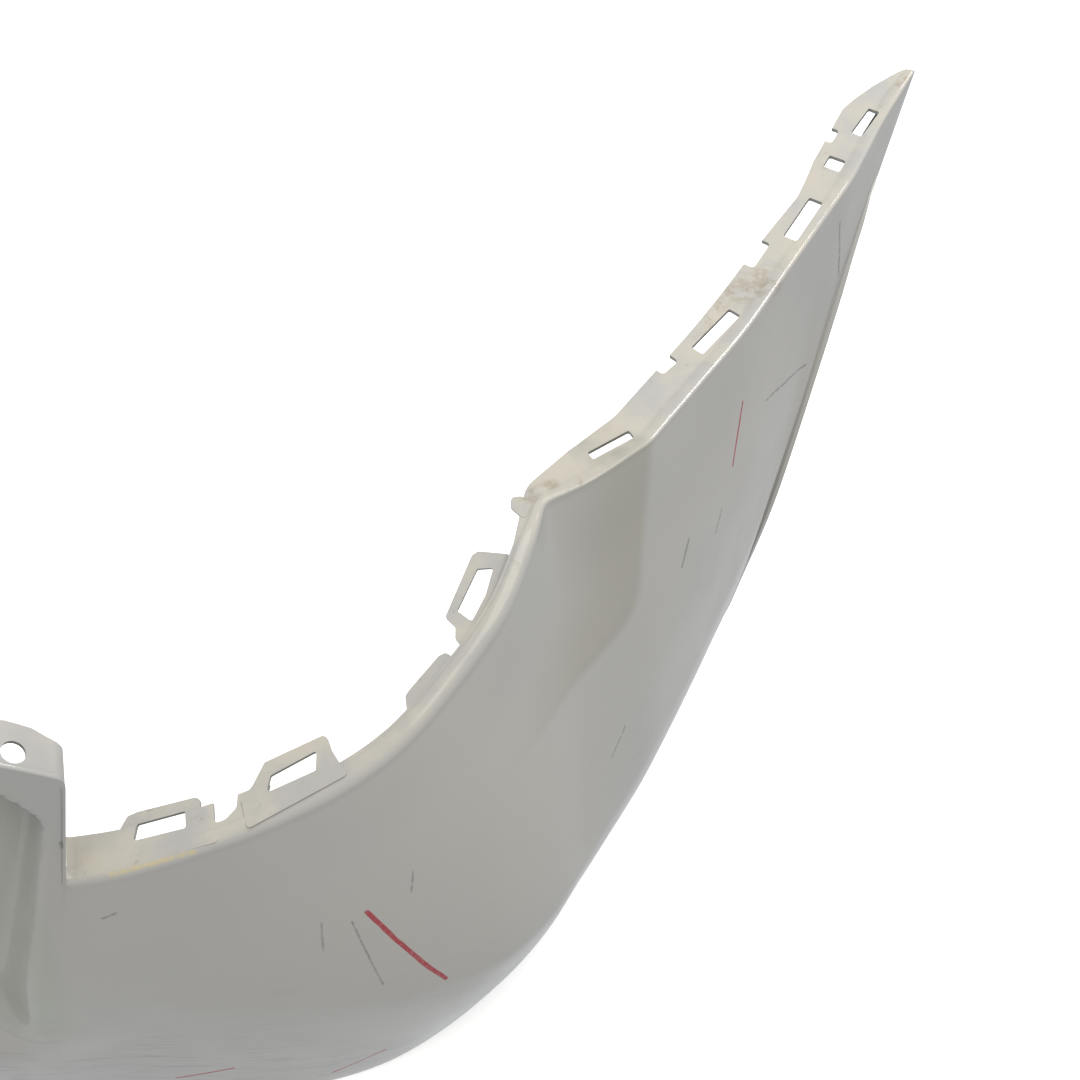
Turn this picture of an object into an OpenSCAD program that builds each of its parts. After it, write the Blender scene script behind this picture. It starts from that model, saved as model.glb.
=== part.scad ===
// Rear bumper cover: a painted one-piece skin with a number-plate recess, lamp cut-outs and slotted side
// flanges, and the black trim, lamps, foam, brackets and fasteners that it carries.
// Millimetres, +Z up. The outer face looks along -Y, and the part stands on its lower edge.

/* [Skin] */
// Wall thickness of the moulded skin
wall = 3; // [2.6:0.1:3.4]
// Depth of the number-plate recess
recess_depth = 30; // [24:1:34]
// Thickness of the clip tabs around the lamp cut-outs
tab_t = 2.6; // [2.4:0.1:3]
// Diameter of the round fixing holes in the centre flange
fix_hole_d = 16; // [14:0.5:17]
// Diameter of the screw holes in the wheel-arch lips
arch_hole_d = 6.5; // [6:0.1:7]

/* [Lower valance] */
// Half length of the opening for the black centre insert
valance_half = 206; // [200:1:208]
// Height of the opening for the black centre insert
valance_h = 62; // [58:1:64]

/* [Tow-eye cover] */
// Side of the square tow-eye cover
cover_side = 64; // [60:1:66]
// Gap between the cover and the skin
cover_gap = 1.2; // [1:0.1:1.6]
// Hinge pin diameter
cover_pin_d = 4; // [3.6:0.1:4.2]

/* [Number-plate fittings] */
// Spacing of the two number-plate screws
plate_screw_pitch = 300; // [280:5:320]
// Distance of each plate lamp from the middle
plate_lamp_x = 120; // [105:5:130]

/* [Hidden] */
$fn = 48;

PAINT = "gainsboro";
BLACK = "dimgray";

// Middle of the depth, moved to y = 0 so that the origin is under the middle of the part
depth_mid = 323.1;

// Stations from the middle of the car to the tip of the right-hand side. Each row holds:
// top edge, widest line, lower edge, heading of the top edge in degrees,
// shape power above the widest line, shoulder [inward, upward], flange width,
// columns up to the next station
stations = [
    [[0, 17, 472], [0, -23, 192], [0, -4, 0], 0, 2.2, [3, 1.6], 12, 3],
    [[150, 21, 470], [138, -20, 192], [136, -2, 0], 3, 2.2, [3, 1.6], 12, 2],
    [[240, 27, 465], [210, -15, 191], [205, 2, 0], 6, 2.2, [3, 1.6], 14, 1],
    [[262, 30, 458], [222, -14, 191], [216, 3, 0], 10, 2.1, [3, 1.6], 28, 1],
    [[284, 32, 449], [240, -12, 190], [232, 4, 0], 14, 2.0, [3, 1.6], 32, 1],
    [[300, 34, 440], [255, -10, 190], [245, 5, 0], 16, 2.0, [3, 1.6], 31, 1],
    [[308, 35, 435], [265, -8, 190], [254, 6, 0], 16, 1.9, [3, 1.6], 27, 1],
    [[316, 36, 430], [274, -7, 190], [262, 7, 0], 14, 1.9, [4, 2], 22, 1],
    [[300, 17, 323], [286, -6, 189], [274, 8, 0], 12, 1.8, [10, 7], 25, 1],
    [[340, 24, 328], [325, -3, 187], [308, 10, 0], 13, 1.8, [11, 8], 23, 2],
    [[385, 37, 337], [372, 0, 182], [352, 13, 0], 17, 1.7, [12, 8], 20, 2],
    [[431, 54, 346], [420, 5, 176], [398, 18, 0], 24, 1.7, [13, 8], 18, 2],
    [[478, 77, 358], [470, 13, 171], [444, 27, 0], 31, 1.6, [14, 8], 5, 2],
    [[515, 104, 372], [516, 25, 168], [490, 46, 0], 40, 1.5, [14, 8], 3, 2],
    [[548, 142, 390], [556, 42, 168], [527, 73, 0], 50, 1.4, [13, 8], 3, 2],
    [[577, 184, 411], [590, 64, 171], [558, 104, 0], 60, 1.3, [12, 7], 3, 2],
    [[592, 226, 427], [616, 96, 174], [584, 139, 0], 70, 1.3, [11, 6], 3, 1],
    [[599, 262, 436], [636, 133, 178], [604, 178, 0], 48, 1.3, [7, 3], 12, 2],
    [[630, 281, 439], [656, 172, 183], [624, 218, 0], 35, 1.4, [3, 1.6], 28, 2],
    [[668, 314, 441], [682, 224, 188], [649, 270, 0], 48, 1.5, [3, 1.6], 31, 2],
    [[701, 364, 445], [706, 280, 196], [676, 324, 0], 56, 1.5, [3, 1.6], 30, 2],
    [[735, 416, 450], [730, 336, 208], [702, 380, 0], 58, 1.4, [3, 1.6], 30, 2],
    [[769, 478, 456], [756, 398, 228], [733, 446, 0], 62, 1.3, [3, 1.6], 28, 2],
    [[796, 527, 461], [774, 443, 262], [749, 428, 120], 63, 1.2, [3, 1.6], 25, 1],
    [[814, 560, 465], [794, 488, 330], [771, 440, 220], 63, 1.1, [3, 1.6], 31, 1],
    [[836, 612, 471], [820, 556, 408], [799, 496, 332], 65, 1.1, [3, 1.6], 30, 1],
    [[850, 640, 475], [838, 605, 440], [826, 568, 410], 68, 1, [3, 1.6], 20, 1],
    [[862, 663, 480], [858, 655, 468], [855, 650, 456], 70, 1, [2, 1], 5, 0]
];
last_station = len(stations) - 1;

// Rows of the skin: the lower lip, the tuck under the widest line, the face and the flange
lip_width = 22;
tuck_rows = [1, 0.83, 0.67, 0.5, 0.38, 0.26, 0.13];
face_rows = [0, 0.13, 0.26, 0.38, 0.5, 0.62, 0.74, 0.83, 0.89, 0.945, 1];

function mix(a, b, t) = a * (1 - t) + b * t;
function clamp01(t) = min(1, max(0, t));
function ease(t) = let (c = clamp01(t)) c * c * (3 - 2 * c);

// Stations where the top edge, the widest line and the lower edge turn sharply: the hump's side, the lamp
// corner and the shoulder kink above, and the foot of the wheel arch below
corners = [[7, 8, 17, 19], [], [22]];
function is_corner(i, rail) = len(search(i, corners[rail])) > 0;
function slope(i, to, rail) = is_corner(i, rail)
    ? (to > i ? stations[to][rail] - stations[i][rail] : stations[i][rail] - stations[to][rail])
    : (stations[min(last_station, i + 1)][rail] - stations[max(0, i - 1)][rail]) / 2;
function hermite(p, q, m, n, t) =
    (2 * t ^ 3 - 3 * t ^ 2 + 1) * p + (t ^ 3 - 2 * t ^ 2 + t) * m
    + (3 * t ^ 2 - 2 * t ^ 3) * q + (t ^ 3 - t ^ 2) * n;

// A column between station i and the next one, at the fraction t
function column(i, t) = let (j = min(last_station, i + 1)) [
    for (rail = [0 : 2])
        hermite(stations[i][rail], stations[j][rail], slope(i, j, rail), slope(j, i, rail), t),
    for (k = [3 : 6]) mix(stations[i][k], stations[j][k], t)
];
half_columns = [
    for (i = [0 : last_station - 1]) for (k = [0 : stations[i][7] - 1]) column(i, k / stations[i][7]),
    column(last_station, 0)
];

// The corner under the lamp is pressed in behind a crease, which runs down from the shoulder kink and then
// turns forward. These are the distances behind its steep and its level stretch.
kink = [668, 314, 441];
kink_away = [0.392, 0.785, -0.479];
function behind_steep(p) = (kink - p) * kink_away;
function above_level(p) = p.z - 312 - 0.24 * (p.x - 575);
press_depth = 5;
press_run = 30;
crease_round = 30;
crease_soft = 4;
function pressed(p, h) = let (a = behind_steep(p), b = above_level(p),
    s = (a + b - norm([a - b, crease_round])) / 2, run = (s + norm([s, crease_soft])) / 2)
    press_depth * (1 - exp(-run / press_run)) * ease((1 - h) / 0.25) * ease((p.x - 560) / 60);

// The number-plate recess: a trapezium with sloping sides, pushed in from the face
rim_bottom = 96;
function rim_half(z) = 308 - 0.178 * (434 - z);
function rim_top(x) = 457 - 33 * (max(0, abs(x) - 225) / 57) ^ 2;
function recess(x, z) = recess_depth * ease((rim_half(z) - abs(x)) / mix(40, 18, clamp01((z - 200) / 200)))
    * ease((rim_top(x) - z) / 16) * ease((z - rim_bottom) / 70);

function inward(c) = [-sin(c[3]), cos(c[3]), 0];
UP = [0, 0, 1];
function face_point(c, h) = let (s = h ^ c[4], p = [mix(c[1].x, c[0].x, s), mix(c[1].y, c[0].y, s),
    mix(c[1].z, c[0].z, h)]) p + [0, recess(p.x, p.z), 0] + inward(c) * pressed(p, h);
function tuck_point(c, g) = let (s = g ^ min(2, c[4]), p = [mix(c[1].x, c[2].x, s), mix(c[1].y, c[2].y, s),
    mix(c[1].z, c[2].z, g)]) p + [0, recess(p.x, p.z), 0];

// Outer points of a column: the lip, the tuck, the face, the rounded shoulder and the flange
n_face = len(tuck_rows) + len(face_rows);
function lip_width(c) = min(22, 0.6 * (c[0].z - c[2].z));
function outer_column(c) = [
    c[2] + inward(c) * lip_width(c) + UP * 2,
    for (g = tuck_rows) tuck_point(c, g),
    for (h = face_rows) face_point(c, h),
    c[0] + inward(c) * c[5][0] * 0.3 + UP * c[5][1] * 0.72,
    c[0] + inward(c) * c[5][0] + UP * c[5][1],
    c[0] + inward(c) * (c[5][0] + c[6] / 2) + UP * c[5][1],
    c[0] + inward(c) * (c[5][0] + c[6]) + UP * c[5][1]
];

// How each outer point moves to the inner side of the wall
function unit(v) = v / norm(v);
function lip_normal(i) = let (before = i == 0 ? flip(half_columns[1][2]) : half_columns[i - 1][2],
    after = half_columns[min(i + 1, n_half - 1)][2]) unit(cross(after - before, inward(half_columns[i])));
function face_normal(i, k) = let (before = i == 0 ? flip(outer_half[1][k]) : outer_half[i - 1][k],
    along = outer_half[i + 1][k] - before, up = outer_half[i][k + 1] - outer_half[i][k - 1])
    unit(cross(up, along));
hump_column = sum_columns(7);
function sum_columns(n) = n == 0 ? 0 : stations[n - 1][7] + sum_columns(n - 1);
function lean(i, k) = let (c = half_columns[i],
    to_side = i >= hump_column && i <= hump_column + 1 ? [-wall, 0, 0] : [0, 0, 0])
    k == 0 ? lip_normal(i) * wall
    : k == 1 ? inward(c) * wall + lip_normal(i) * wall
    : k < n_face && i < hump_column - 1 ? face_normal(i, k) * wall
    : k < n_face ? inward(c) * wall * 1.06
    : k == n_face ? inward(c) * wall
    : k == n_face + 1 ? inward(c) * wall * 0.7 - UP * wall * 0.7 + to_side
    : -UP * wall + to_side;

// Both halves in one list of columns, from the left tip to the right tip
n_half = len(half_columns);
function flip(p) = [-p.x, p.y, p.z];
outer_half = [for (c = half_columns) outer_column(c)];
inner_half = [
    for (i = [0 : n_half - 1]) [for (k = [0 : len(outer_half[i]) - 1]) outer_half[i][k] + lean(i, k)]
];
function both(half) = concat([for (k = [n_half - 1 : -1 : 1]) [for (p = half[k]) flip(p)]], half);
n_rows = len(outer_half[0]);
n_cols = 2 * n_half - 1;
function flat(list) = [for (a = list) for (b = a) b];

module skin_shell() {
    points = concat(flat(both(outer_half)), flat(both(inner_half)));
    function id(side, i, j) = side * n_rows * n_cols + i * n_rows + j;
    faces = concat(
        [for (i = [0 : n_cols - 2]) for (j = [0 : n_rows - 2]) for (f = [
            [id(0, i, j), id(0, i, j + 1), id(0, i + 1, j + 1)],
            [id(0, i, j), id(0, i + 1, j + 1), id(0, i + 1, j)],
            [id(1, i, j), id(1, i + 1, j + 1), id(1, i, j + 1)],
            [id(1, i, j), id(1, i + 1, j), id(1, i + 1, j + 1)]]) f],
        [for (i = [0 : n_cols - 2]) for (f = [
            [id(0, i, 0), id(0, i + 1, 0), id(1, i + 1, 0)],
            [id(0, i, 0), id(1, i + 1, 0), id(1, i, 0)],
            [id(0, i, n_rows - 1), id(1, i, n_rows - 1), id(1, i + 1, n_rows - 1)],
            [id(0, i, n_rows - 1), id(1, i + 1, n_rows - 1), id(0, i + 1, n_rows - 1)]]) f],
        [for (j = [0 : n_rows - 2]) for (f = [
            [id(0, 0, j), id(1, 0, j), id(1, 0, j + 1)],
            [id(0, 0, j), id(1, 0, j + 1), id(0, 0, j + 1)],
            [id(0, n_cols - 1, j), id(0, n_cols - 1, j + 1), id(1, n_cols - 1, j + 1)],
            [id(0, n_cols - 1, j), id(1, n_cols - 1, j + 1), id(1, n_cols - 1, j)]]) f]);
    polyhedron(points, faces);
}

module placed() {
    translate([0, -depth_mid, 0]) children();
}
module each_side() {
    children();
    mirror([1, 0, 0]) children();
}
module rounded_plate(w, h, r, t) {
    linear_extrude(t) {
        square([w - 2 * r, h], center = true);
        square([w, h - 2 * r], center = true);
        for (x = [-1, 1]) for (y = [-1, 1]) translate([x * (w / 2 - r), y * (h / 2 - r)]) circle(r);
    }
}
// Turns a plate drawn flat so that it stands in the face, with its thickness running inward from the face
module facing() {
    rotate([-90, 0, 0]) mirror([0, 1, 0]) children();
}

// Right-hand lamp tabs: start on the crease, heading, rise, outline and window
lamp_tabs = [
    [[336, 31, 335], 15.5, 11.4,
        [[0, -3], [1, 27], [7, 35], [14, 36], [54, 34], [57, 31], [55, 20], [66, -3]],
        [[9, 15], [13, 27], [46, 26], [45, 13]]],
    [[413, 54, 352], 28.5, 13.3, [[2, -3], [6, 18], [17, 24], [30, 35], [72, 32], [74, 29], [73, 20], [74, 8],
        [76, -3]], [[23, 14], [30, 24], [64, 24], [58, 11]]],
    [[499, 105, 377], 45.9, 18.7, [[22, -4], [34, 12], [39, 13], [68, 15], [73, 13], [76, -4]], []],
    [[548, 156, 401], 71.7, 15.9, [[6, -5], [14, 9], [22, 12], [26, 21], [73, 20], [77, 17], [82, -5]],
        [[33, 15], [65, 13], [69, 3], [49, 1], [29, 3]]],
    [[580, 250, 437], 72, 12, [[0, -6], [6, 7], [13, 9], [16, 3], [14, -6]], []]
];
// Notch in the lamp flange, right after the first tab and in its frame
lamp_notch = [[66, 34], [64, 10], [72, 11], [80, 17], [84, 34]];
module at_tab(tab, drop) {
    translate(tab[0]) rotate([0, 0, tab[1]]) rotate([0, -tab[2], 0]) translate([0, 0, -drop]) children();
}
module lamp_tab(tab) {
    at_tab(tab, tab_t + 0.5) linear_extrude(tab_t) polygon(tab[3]);
}
module lamp_window(tab) {
    if (len(tab[4]) > 0) at_tab(tab, 8) linear_extrude(14) polygon(tab[4]);
}

// Slots in the right-hand side flange: middle, heading, length and width
flange_slots = [
    [[641, 312, 442], 36, 34, 7], [[712, 413, 449], 53, 44, 10], [[775, 518, 457], 62, 42, 11],
    [[799, 572, 466], 64, 12, 13], [[823, 613, 473], 60, 28, 9]
];
module flange_slot(slot) {
    translate(slot[0]) rotate([0, 0, slot[1]]) cube([slot[2], slot[3], 40], center = true);
}
// Notches in the inner edge of that flange: middle, heading, length and width
flange_notches = [[[676, 384, 446], 50, 16, 12], [[739, 486, 455], 62, 26, 13], [[797, 600, 468], 64, 14, 7]];

// Fixing hole in the centre flange, on the right
fix_hole = [285, 45, 447];
fix_tilt = 24;

// Screw holes in the wheel-arch lip, on the right
arch_heading = 63;
arch_screws = [[738.3, 433.4, 120], [757.2, 443.8, 205]];
module at_arch_screws() {
    for (at = arch_screws) translate(at) rotate([0, 0, arch_heading]) rotate([0, 90, 0]) children();
}
// Screw holes for the undertray in the lower lip, on the right
undertray_screws = [[300, 21, 3], [435, 36, 3]];
undertray_hole_d = 8;

// The centre insert's opening, and the face near the middle of the car below the widest line
insert_gap = 2;
insert_lap = 16;
insert_shift = wall + 0.7;
function low_face(x, z) = mix(-23 + 1.8e-4 * x * x, -4 + 1.4e-4 * x * x, ((192 - z) / 192) ^ 2);
rivet_spots = [for (x = [-150, -50, 50, 150]) [x, valance_h + 9],
    for (side = [-1, 1]) [side * (valance_half + 8), 34]];
rivet_hole_d = 8;
rivet_tilt = 7;
module at_rivet(spot) {
    translate([spot.x, low_face(spot.x, spot.y), spot.y]) rotate([rivet_tilt - 90, 0, 0]) children();
}

// The tow-eye cover's place: on the left, in a frame that lies in the face
cover_at = [425, 9.9, 215];
cover_heading = 9.8;
cover_lean = 9.4;
module at_cover() {
    mirror([1, 0, 0]) translate(cover_at)
        rotate([0, 0, cover_heading]) rotate([-cover_lean, 0, 0]) children();
}
cover_axis = [40, 10];
hinge_side_gap = 2.6;
barrel_d = 8;
module cover_prism(grow_hinge, side) {
    translate([grow_hinge / 2, -30, 0]) facing() rounded_plate(side + grow_hinge, side, 6, 70);
}

// Plate lamps in the top wall of the recess
lamp_slope = 32;
lamp_at = [plate_lamp_x, 28, 448];
module at_lamp() {
    translate(lamp_at) rotate([-lamp_slope, 0, 0]) children();
}
lamp_open = [42, 16];

// Pegs that carry the energy absorber, and its plate-screw neighbours
pegs = [[50, 5], [150, 8]];
peg_z = 150;
peg_d = 10;
peg_end = 48;
module at_pegs() {
    each_side() for (peg = pegs) translate([peg.x, peg.y, peg_z]) rotate([-90, 0, 0]) children();
}
// Plastic anchors for the plate screws, square to the recess floor
anchor_hole_d = 9;
anchor_at = [22.2, 350];
anchor_tilt = 8;
module at_anchors() {
    for (side = [-1, 1]) translate([side * plate_screw_pitch / 2, anchor_at.x, anchor_at.y])
        rotate([-90 - anchor_tilt, 0, 0]) children();
}

module bumper_skin() {
    color(PAINT) placed() difference() {
        union() {
            skin_shell();
            each_side() for (tab = lamp_tabs) lamp_tab(tab);
            each_side() for (peg = pegs) translate([peg.x, peg.y, peg_z]) rotate([-90, 0, 0])
                cylinder(d = peg_d, h = peg_end - peg.y);
        }
        each_side() {
            for (slot = flange_slots) flange_slot(slot);
            for (tab = lamp_tabs) lamp_window(tab);
            at_tab(lamp_tabs[0], 10) linear_extrude(20) polygon(lamp_notch);
            for (notch = flange_notches) flange_slot(notch);
            translate(fix_hole) rotate([0, fix_tilt, 0]) cylinder(d = fix_hole_d, h = 24, center = true);
            at_arch_screws() cylinder(d = arch_hole_d, h = 18, center = true);
            for (at = undertray_screws) translate(at) cylinder(d = undertray_hole_d, h = 16, center = true);
            at_lamp() cube([lamp_open[0], lamp_open[1], 16], center = true);
        }
        at_anchors() translate([0, 0, -12]) cylinder(d = anchor_hole_d, h = 30);
        for (spot = rivet_spots) at_rivet(spot) translate([0, 0, -12]) cylinder(d = rivet_hole_d, h = 30);
        translate([-valance_half, -60, -5]) cube([2 * valance_half, 90, valance_h + 5]);
        at_cover() cover_prism(hinge_side_gap - cover_gap, cover_side + 2 * cover_gap);
    }
}

module lower_valance() {
    color(BLACK) placed() difference() {
        translate([0, insert_shift, 0]) intersection() {
            skin_shell();
            union() {
                translate([-valance_half + insert_gap, -60, 0])
                    cube([2 * (valance_half - insert_gap), 90, 30]);
                translate([-valance_half - insert_lap, -60, 8])
                    cube([2 * (valance_half + insert_lap), 90, valance_h + insert_lap - 8]);
            }
        }
        for (spot = rivet_spots) at_rivet(spot) translate([0, 0, -12]) cylinder(d = rivet_hole_d, h = 30);
        for (x = [-105 : 30 : 105]) translate([x, 0, 36]) cube([18, 60, 22], center = true);
        for (side = [-1, 1]) translate([side * reflector_x, 0, reflector_z])
            cube([reflector_w + 1, 60, reflector_h + 1], center = true);
    }
}

reflector_x = 162;
reflector_z = 36;
reflector_w = 56;
reflector_h = 22;
module reflector() {
    translate([reflector_x, low_face(reflector_x, reflector_z) + insert_shift, reflector_z])
        rotate([rivet_tilt, 0, 0]) {
            translate([0, -2, 0]) facing() rounded_plate(reflector_w, reflector_h, 3, 8);
            translate([0, 5, 0]) facing() rounded_plate(reflector_w + 8, reflector_h + 8, 3, 2);
        }
}

module tow_eye_cover() {
    arm_x = cover_axis.x - 18;
    color(PAINT) placed() union() {
        intersection() {
            skin_shell();
            at_cover() cover_prism(0, cover_side);
        }
        at_cover() difference() {
            union() {
                translate([arm_x, 1.5, -6]) cube([4, cover_axis.y + 10.5, 12]);
                translate([arm_x, cover_axis.y + 9, -6]) cube([20, 3, 12]);
                translate([cover_axis.x - 2, cover_axis.y, -6]) cube([4, 12, 12]);
                translate([cover_axis.x, cover_axis.y, -10]) cylinder(d = barrel_d, h = 20);
            }
            translate([cover_axis.x, cover_axis.y, -12]) cylinder(d = cover_pin_d + 0.15, h = 24);
        }
    }
}

module tow_eye_pin() {
    color("silver") placed() at_cover() {
        translate([cover_axis.x, cover_axis.y, -15]) cylinder(d = cover_pin_d, h = 31);
        translate([cover_axis.x, cover_axis.y, 15]) cylinder(d = cover_pin_d + 3, h = 1.6);
    }
}

module tow_eye_frame() {
    plate_y = 28;
    foot_y = 9.8;
    color(BLACK) placed() at_cover() difference() {
        union() {
            translate([0, plate_y, 0]) facing() rounded_plate(100, 88, 6, 3);
            for (x = [-44, 44]) for (z = [-38, 38])
                translate([x - 4, foot_y, z - 4]) cube([8, plate_y - foot_y + 1, 8]);
            for (z = [-14.2, 11.2]) {
                translate([cover_axis.x - 4, cover_axis.y, z]) cube([8, plate_y - cover_axis.y + 1, 3]);
                translate([cover_axis.x, cover_axis.y, z]) cylinder(d = 8.4, h = 3);
            }
        }
        translate([0, plate_y - 1, 0]) rotate([-90, 0, 0]) cylinder(d = 38, h = 6);
        translate([cover_axis.x, cover_axis.y, -16]) cylinder(d = cover_pin_d + 0.1, h = 32);
    }
}

module lamp_housing() {
    color(BLACK) at_lamp() difference() {
        translate([-25, -10.5, 3.1]) cube([50, 21, 10]);
        translate([-20, -7.5, 2]) cube([40, 15, 9]);
    }
}
module lamp_lens() {
    color("white") at_lamp() translate([-19.6, -7.2, -1.2]) cube([39.2, 14.4, 5.6]);
}
module lamp_bulb() {
    color("silver") at_lamp() translate([-19.8, 0, 7.6]) rotate([0, 90, 0]) cylinder(d = 5, h = 39.6);
}

module plate_screw_anchors() {
    color(BLACK) placed() at_anchors() difference() {
        union() {
            translate([0, 0, -1.6]) cylinder(d = 14, h = 1.6);
            cylinder(d = anchor_hole_d - 0.3, h = 16);
        }
        translate([0, 0, -3]) cylinder(d = anchor_bore_d, h = 21);
    }
}
anchor_bore_d = 4.8;

module energy_absorber() {
    color("darkslategray") placed() difference() {
        translate([0, 0, 104]) linear_extrude(92) polygon([
            [-375, 34], [-260, 22], [-120, 19], [0, 18.5], [120, 19], [260, 22],
            [375, 34], [375, 87], [250, 82], [0, 79], [-250, 82], [-375, 87]]);
        for (x = [-250 : 100 : 250]) translate([x, 68, peg_z]) cube([70, 60, 56], center = true);
        each_side() translate([332, 68, peg_z]) cube([54, 60, 56], center = true);
        at_pegs() cylinder(d = peg_d + 0.8, h = 52);
    }
}

// Push-on washers that hold the absorber on its pegs
module absorber_washers() {
    color("silver") placed() each_side() for (peg = pegs) translate([peg.x, 38.3, peg_z]) rotate([-90, 0, 0])
        difference() {
            cylinder(d = 24, h = 1.2);
            translate([0, 0, -1]) cylinder(d = peg_d + 0.2, h = 4);
        }
}

module valance_rivet_bodies() {
    color(BLACK) placed() for (spot = rivet_spots) at_rivet(spot) difference() {
        union() {
            translate([0, 0, -3]) cylinder(d = 16, h = 2);
            translate([0, 0, -1.5]) cylinder(d = rivet_hole_d - 0.5, h = 14.5);
        }
        translate([0, 0, -4]) cylinder(d = rivet_pin_d + 0.3, h = 20);
    }
}
module valance_rivet_pins() {
    color(BLACK) placed() for (spot = rivet_spots) at_rivet(spot) {
        translate([0, 0, -4.1]) cylinder(d = 8, h = 1.1);
        translate([0, 0, -3]) cylinder(d = rivet_pin_d, h = 16.5);
    }
}
rivet_pin_d = 4;

// The lead between the two plate lamps, its clips under the top flange and its connector
lead_d = 5;
lead_at = [28 + 8 * sin(lamp_slope), 448 + 8 * cos(lamp_slope)];
lead_half = plate_lamp_x - 25;
module along_lead(from, length) {
    translate([from, lead_at.x, lead_at.y]) rotate([0, 90, 0]) linear_extrude(length) children();
}
module lamp_harness() {
    color("black") placed() translate([-lead_half, lead_at.x, lead_at.y]) rotate([0, 90, 0])
        cylinder(d = lead_d, h = 2 * lead_half);
}
module harness_clips() {
    color(BLACK) placed() for (x = [-60, 60]) translate([x - 4, 0, 0]) difference() {
        union() {
            translate([0, lead_at.x, lead_at.y]) rotate([0, 90, 0]) cylinder(d = lead_d + 4, h = 8);
            translate([0, lead_at.x - 6, lead_at.y]) cube([8, 6, clip_top - lead_at.y]);
        }
        translate([-1, lead_at.x, lead_at.y]) rotate([0, 90, 0]) cylinder(d = lead_d + 0.2, h = 10);
    }
}
clip_top = 469.6;
module harness_connector() {
    color(BLACK) placed() translate([-14, 0, 0]) difference() {
        translate([0, lead_at.x - 3.1, lead_at.y - 3.1]) cube([28, 14, 12]);
        translate([-1, lead_at.x, lead_at.y]) rotate([0, 90, 0]) cylinder(d = lead_d + 0.2, h = 30);
    }
}

// Screw grommets for the wheel-arch liner: a plate behind the lip, with a collar through its hole
module arch_nuts() {
    color("silver") placed() each_side() at_arch_screws() difference() {
        union() {
            translate([-8, -6, -7.2]) cube([16, 12, 1.6]);
            translate([0, 0, -12.4]) cylinder(d = 8, h = 6);
            translate([0, 0, -7]) cylinder(d = arch_hole_d - 0.4, h = 6.8);
        }
        translate([0, 0, -14]) cylinder(d = 4.2, h = 16);
    }
}
module undertray_nuts() {
    color("silver") placed() each_side() for (at = undertray_screws) translate([at.x, at.y, 5.6])
        difference() {
            union() {
                translate([-8, -6, 0]) cube([16, 12, 1.6]);
                cylinder(d = 9, h = 7);
            }
            translate([0, 0, -1]) cylinder(d = 5, h = 9);
        }
}

module plate_lamp_housing_right() placed() lamp_housing();
module plate_lamp_housing_left() placed() mirror([1, 0, 0]) lamp_housing();
module plate_lamp_lens_right() placed() lamp_lens();
module plate_lamp_lens_left() placed() mirror([1, 0, 0]) lamp_lens();
module plate_lamp_bulb_right() placed() lamp_bulb();
module plate_lamp_bulb_left() placed() mirror([1, 0, 0]) lamp_bulb();
module reflector_right() color("firebrick") placed() reflector();
module reflector_left() color("firebrick") placed() mirror([1, 0, 0]) reflector();

bumper_skin();
lower_valance();
tow_eye_cover();
tow_eye_pin();
tow_eye_frame();
plate_lamp_housing_right();
plate_lamp_housing_left();
plate_lamp_lens_right();
plate_lamp_lens_left();
plate_lamp_bulb_right();
plate_lamp_bulb_left();
plate_screw_anchors();
energy_absorber();
absorber_washers();
reflector_right();
reflector_left();
valance_rivet_bodies();
valance_rivet_pins();
lamp_harness();
harness_clips();
harness_connector();
arch_nuts();
undertray_nuts();
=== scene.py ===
"""A painted rear bumper cover with its black insert, plate lamps, tow-eye cover, foam and fasteners."""

import math

import bmesh
import bpy
import numpy as np
from mathutils import Matrix, Vector
from mathutils.bvhtree import BVHTree


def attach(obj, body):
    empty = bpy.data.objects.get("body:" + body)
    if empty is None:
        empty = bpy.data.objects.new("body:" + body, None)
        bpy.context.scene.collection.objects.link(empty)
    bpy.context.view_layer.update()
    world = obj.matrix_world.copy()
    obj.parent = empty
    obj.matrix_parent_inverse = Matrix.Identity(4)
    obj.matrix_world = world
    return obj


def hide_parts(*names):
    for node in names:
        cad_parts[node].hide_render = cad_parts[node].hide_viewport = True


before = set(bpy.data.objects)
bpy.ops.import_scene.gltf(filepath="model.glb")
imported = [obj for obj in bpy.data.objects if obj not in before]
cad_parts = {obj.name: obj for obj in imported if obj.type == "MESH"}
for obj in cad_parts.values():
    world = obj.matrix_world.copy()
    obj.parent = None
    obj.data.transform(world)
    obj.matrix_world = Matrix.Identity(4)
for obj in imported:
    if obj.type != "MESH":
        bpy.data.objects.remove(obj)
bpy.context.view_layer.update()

# Lengths below are millimetres in the car's own frame: X to the right seen from outside, Y inward from the
# outermost face, Z up from the lower edge. DEPTH_MID moves them to the row frame.
MM = 0.001
DEPTH_MID = 323.1
WALL = 3.0

BUMPER = "bumper"
TOW_COVER = "tow_cover"

# ---------------------------------------------------------------- the skin's shape

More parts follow.
